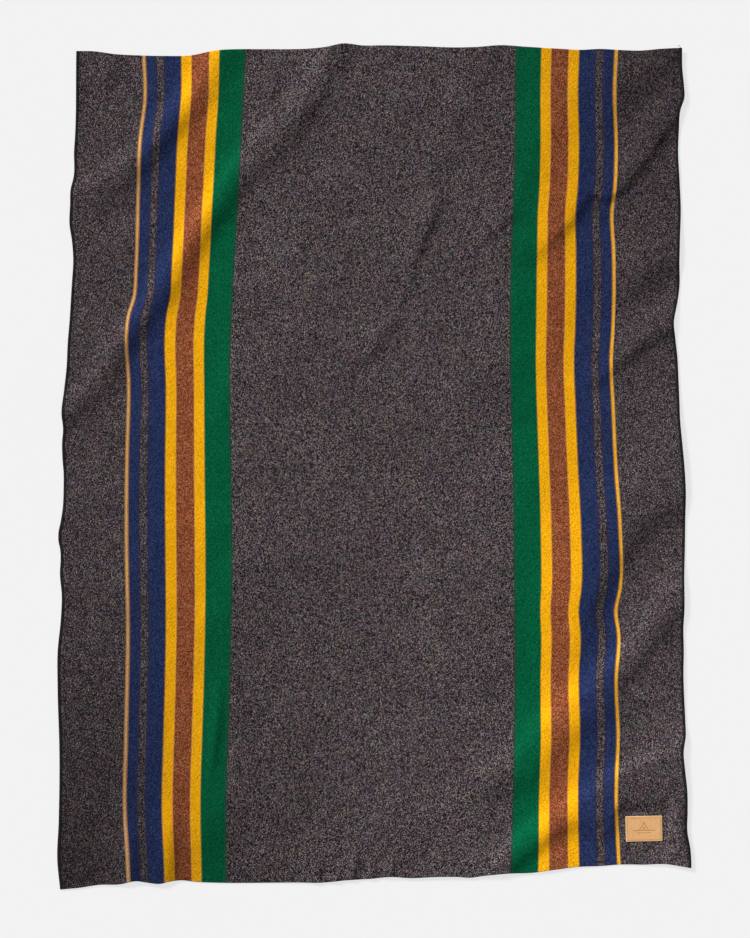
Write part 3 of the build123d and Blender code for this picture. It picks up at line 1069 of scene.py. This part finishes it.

# %% [markdown]
# Two rules say how a band meets its neighbour: how far the neighbour's fibres reach over it, and
# how wide the painted line of shade between the two is. Gold yarn is smooth and hides most strays,
# but the narrow gold pinstripe lies half buried.

# %% How a band meets its neighbour
def fibre_reach(node, other):
    """How far over a band the fibres of the band beside it reach."""
    if node.startswith("gold_pinstripe"):
        return 0.0080 if node.endswith("left") else 0.0040
    if other.startswith("gold") and not node.startswith("brown"):
        return 0.0014
    return min(yarns[slot_of[node]]["reach"], yarns[slot_of[other]]["reach"])


def parting_shade_width(node, other):
    """How wide the painted line of shade is where a band parts from the band beside it."""
    # the left gold pinstripe gets the widest painted line of shade
    if node == "gold_pinstripe_left":         # its edge yarns sink deepest
        return 0.0020
    return min(yarns[slot_of[node]]["parting"], yarns[slot_of[other]]["parting"])


print("green reaches over gold by", fibre_reach("gold_inner_left", "green_stripe_left") / MM, "mm")

# %% [markdown]
# The shader itself stays in the material. A value that is the same all over is set on the shader's
# own socket, and only what changes over the cloth is linked. Sheen stands for the haze of fibre
# ends on fulled wool.

# %% The wool finish
def new_material(name, **shader_values):
    """A material whose constant values sit on the shader's own sockets."""
    material = bpy.data.materials.new(name)
    material.use_nodes = True
    shader = material.node_tree.nodes["Principled BSDF"]
    for label, value in shader_values.items():
        shader.inputs[label.replace("_", " ")].default_value = value
    print("material", name)
    return material, material.node_tree, shader


def wool(node, neighbours):
    """The finish of one weft band; neighbours are (edge place, node) of the bands beside it."""
    values = yarns[slot_of[node]]
    calm = calm_share if node.startswith(("margin", "charcoal")) else 1.0
    material, tree, shader = new_material(
        f"{node}_wool", Roughness=0.95, Sheen_Weight=0.04, Sheen_Roughness=0.5,
        Specular_IOR_Level=0.05,
    )
    shader.inputs["Sheen Tint"].default_value = paint(values["light"])
    uv = add(tree, "ShaderNodeUVMap", uv_map="flat_cloth").outputs[0]
    cloth = place_group(tree, weave, Place=uv, Nap=values["nap"])
    mixed = place_group(
        tree, heather, Place=uv, Fibre=cloth.outputs["Fibre"], Hollow=cloth.outputs["Hollow"],
        Yarn=paint(values["yarn"]), Light_Fleck=paint(values["light"]),
        Dark_Fleck=paint(values["dark"]), Speckle=values["speckle"] * calm,
        Balance=values["balance"], Hue_Drift=values["drift"], Cloud=values["cloud"], Sweep=painted_corner_shading,
    )
    colour = mixed.outputs["Colour"]
    for edge, other in neighbours:
        edging = place_group(tree, stray, Place=uv, Edge=edge, Reach=fibre_reach(node, other),
                             Parting=parting_shade_width(node, other))
        over = paint(yarns[slot_of[other]]["light" if slot_of[node] == "wool_gold" else "yarn"])
        # Painted shade: a dark line where the two yarns part.
        colour = blend_colour(tree, edging.outputs["Parting Shade"], colour, paint(values["dark"]))
        colour = blend_colour(tree, edging.outputs["Strays"], colour, over)
    tree.links.new(colour, shader.inputs["Base Color"])
    bump = add(tree, "ShaderNodeBump", {"Height": cloth.outputs["Height"], "Strength": 0.6,
                                        "Distance": 0.0007})
    tree.links.new(bump.outputs[0], shader.inputs["Normal"])
    return material


# %% [markdown]
# Each band is given its two neighbours and the places of the edges that it shares with them.

# %% Wool on every band
for place, node in enumerate(band_order):
    neighbours = []
    if place > 0:
        neighbours.append((float(band_edges[node][0]), band_order[place - 1]))
    if place < len(band_order) - 1:
        neighbours.append((float(band_edges[node][1]), band_order[place + 1]))
    weft_pieces[node].data.materials.append(wool(node, neighbours))

# %% [markdown]
# ## Cotton
# The hidden warp gets plain cotton: its ends are fine ridges along the blanket, drawn by a wave in
# colour only, as painted shade between lighter ridges.

# %% Cotton warp
warp_material, tree, shader = new_material("warp_cotton", Roughness=0.9, Specular_IOR_Level=0.2)
uv = add(tree, "ShaderNodeUVMap", uv_map="flat_cloth").outputs[0]
ends = add(tree, "ShaderNodeTexWave", {"Vector": uv, "Scale": 120.0, "Distortion": 1.5, "Detail": 1.0},
           bands_direction="Y")
tree.links.new(blend_colour(tree, ends.outputs["Fac"], paint("#4b4543"), paint("#7d746f")),
               shader.inputs["Base Color"])
warp_piece.data.materials.append(warp_material)

# %% [markdown]
# ## Thread
# Sewing thread is two plies twisted together, which shows as slanting ridges along the tube, with
# shade painted into the colour between the plies. The black and the tan thread differ only in
# colour and gloss, so both use one group.

# %% Group: twisted thread
twist, given, result = new_group(
    "twisted_thread",
    {"Place": (0.0, 0.0, 0.0), "Twist": 900.0, "Thread": (0.1, 0.1, 0.1, 1.0),
     "Groove": (0.02, 0.02, 0.02, 1.0)},
    {"Colour": "NodeSocketColor", "Height": "NodeSocketFloat"},
)
slant = add(twist, "ShaderNodeSeparateXYZ", {0: given["Place"]})
turned = maths(twist, "ADD", slant.outputs[0], maths(twist, "MULTIPLY", slant.outputs[1], 0.8))
turns = maths(twist, "MULTIPLY", given["Twist"], 2 * math.pi)
ply = maths(twist, "SINE", maths(twist, "MULTIPLY", turned, turns))
ridge = maths(twist, "MULTIPLY_ADD", ply, 0.5, 0.5)
hair = add(twist, "ShaderNodeTexNoise", {"Vector": given["Place"], "Scale": 2500.0, "Detail": 2.0})
tone = maths(twist, "MULTIPLY", ridge, maths(twist, "MULTIPLY_ADD", hair.outputs["Fac"], 0.6, 0.7))
# Painted shade: the colour darkens between the plies.
twist.links.new(blend_colour(twist, tone, given["Groove"], given["Thread"]), result["Colour"])
twist.links.new(ridge, result["Height"])


# %% [markdown]
# The twist follows the tube's own UV map, which runs along the thread and round it, both in metres.

# %% Black and tan thread
def thread_finish(name, colour, ply_shade, roughness):
    """Twisted thread in one colour, with painted shade between its plies."""
    material, tree, shader = new_material(name, Roughness=roughness, Specular_IOR_Level=0.3)
    uv = add(tree, "ShaderNodeUVMap", uv_map="along_thread").outputs[0]
    plies = place_group(tree, twist, Place=uv, Thread=paint(colour), Groove=paint(ply_shade))
    tree.links.new(plies.outputs["Colour"], shader.inputs["Base Color"])
    bump = add(tree, "ShaderNodeBump", {"Height": plies.outputs["Height"], "Strength": 0.5,
                                        "Distance": 0.0002})
    tree.links.new(bump.outputs[0], shader.inputs["Normal"])
    return material


black_thread = thread_finish("black_overlock_thread", "#1b1719", "#060506", 0.75)
tan_thread = thread_finish("tan_seam_thread", "#e9c898", "#a97f4e", 0.6)
for piece in overlock_pieces:
    piece.data.materials.append(black_thread)
for piece in seam_pieces:
    piece.data.materials.append(tan_thread)

# %% [markdown]
# ## Leather
# Vegetable tanned leather has fine pores, a slow change of tone and small mottles. It is lighter
# where the rim was cut and burnished, and darker where the hot stamp pressed it.

# %% Tanned leather
leather, tree, shader = new_material("tanned_leather", Specular_IOR_Level=0.25)
uv = add(tree, "ShaderNodeUVMap", uv_map="flat_cloth").outputs[0]
pores = add(tree, "ShaderNodeTexVoronoi", {"Vector": uv, "Scale": 1400.0, "Randomness": 1.0})
tone = add(tree, "ShaderNodeTexNoise", {"Vector": uv, "Scale": 45.0, "Detail": 4.0, "Roughness": 0.6})
base = blend_colour(tree, tone.outputs["Fac"], paint("#d29b60"), paint("#ecbe8e"))
spots = add(tree, "ShaderNodeTexNoise", {"Vector": uv, "Scale": 190.0, "Detail": 4.0,
                                         "Roughness": 0.75})
mottle = maths(tree, "MULTIPLY_ADD", spots.outputs["Fac"], 2.4, -0.95, clamp=True)
base = blend_colour(tree, mottle, base, paint("#c48a50"))
rim = add(tree, "ShaderNodeAttribute", attribute_name="rim").outputs["Fac"]
base = blend_colour(tree, maths(tree, "MULTIPLY", rim, 0.8), base, paint("#f0cfa0"))
pressed = add(tree, "ShaderNodeAttribute", attribute_name="pressed").outputs["Fac"]
tree.links.new(blend_colour(tree, maths(tree, "MULTIPLY", pressed, 0.75), base, paint("#8a5a30")),
               shader.inputs["Base Color"])
tree.links.new(maths(tree, "MULTIPLY_ADD", tone.outputs["Fac"], 0.25, 0.55), shader.inputs["Roughness"])
bump = add(tree, "ShaderNodeBump", {"Height": pores.outputs["Distance"], "Strength": 0.35,
                                    "Distance": 0.0003})
tree.links.new(bump.outputs[0], shader.inputs["Normal"])
patch_piece.data.materials.append(leather)

# %% [markdown]
# ## Floor and light
# The floor is a pale sheet lit a little from behind, like a light table, so the blanket's shadow
# stays soft and thin. The folds only show if the main light rakes over them, so the sun stands low
# at the upper left. A white world fills the shadows, so that the dark wool keeps its colour. Seen
# directly it is nearly as pale as the floor, so hardly any horizon shows in views from the side.

# %% Floor
floor_half = 60.0           # metres, so that its edge is far away in every view
floor_grey = 0.16
floor_glow = 0.722
floor_mesh = bpy.data.meshes.new("floor")
signs = ((-1, -1), (1, -1), (1, 1), (-1, 1))
floor_corners = [(x * floor_half, y * floor_half, 0) for x, y in signs]
floor_mesh.from_pydata(floor_corners, [], [(0, 1, 2, 3)])
floor = bpy.data.objects.new("floor", floor_mesh)
bpy.context.scene.collection.objects.link(floor)
floor_paper, tree, shader = new_material("floor_paper", Roughness=0.95, Specular_IOR_Level=0.0)
shader.inputs["Base Color"].default_value = (floor_grey, floor_grey, floor_grey, 1)
shader.inputs["Emission Color"].default_value = (1, 1, 1, 1)
shader.inputs["Emission Strength"].default_value = floor_glow
floor_mesh.materials.append(floor_paper)

# %% [markdown]
# A sun is enough for the raking light, and its wide disc makes the shadows soft. The world's
# strength has two values: the one that lights the cloth, and a brighter one that only the camera
# sees.

# %% Sun and world
sun_height = math.radians(25)
sun_heading = math.radians(225)
fill_light, seen_light = 0.26, 0.90      # the world as it lights the cloth and as the camera sees it
sun_data = bpy.data.lights.new("key", "SUN")
sun_data.energy = 5.8
sun_data.angle = math.radians(14)
sun = bpy.data.objects.new("key", sun_data)
sun.rotation_euler = (math.radians(90) - sun_height, 0, sun_heading)
bpy.context.scene.collection.objects.link(sun)

world = bpy.data.worlds.new("studio")
world.use_nodes = True
sky = world.node_tree.nodes["Background"]
sky.inputs["Color"].default_value = (1, 1, 1, 1)
seen = add(world.node_tree, "ShaderNodeLightPath").outputs["Is Camera Ray"]
strength = maths(world.node_tree, "MULTIPLY_ADD", seen, seen_light - fill_light, fill_light)
world.node_tree.links.new(strength, sky.inputs["Strength"])
bpy.context.scene.world = world
bpy.context.scene.view_settings.view_transform = "Standard"
print("sun", round(math.degrees(sun_height)), "degrees high")
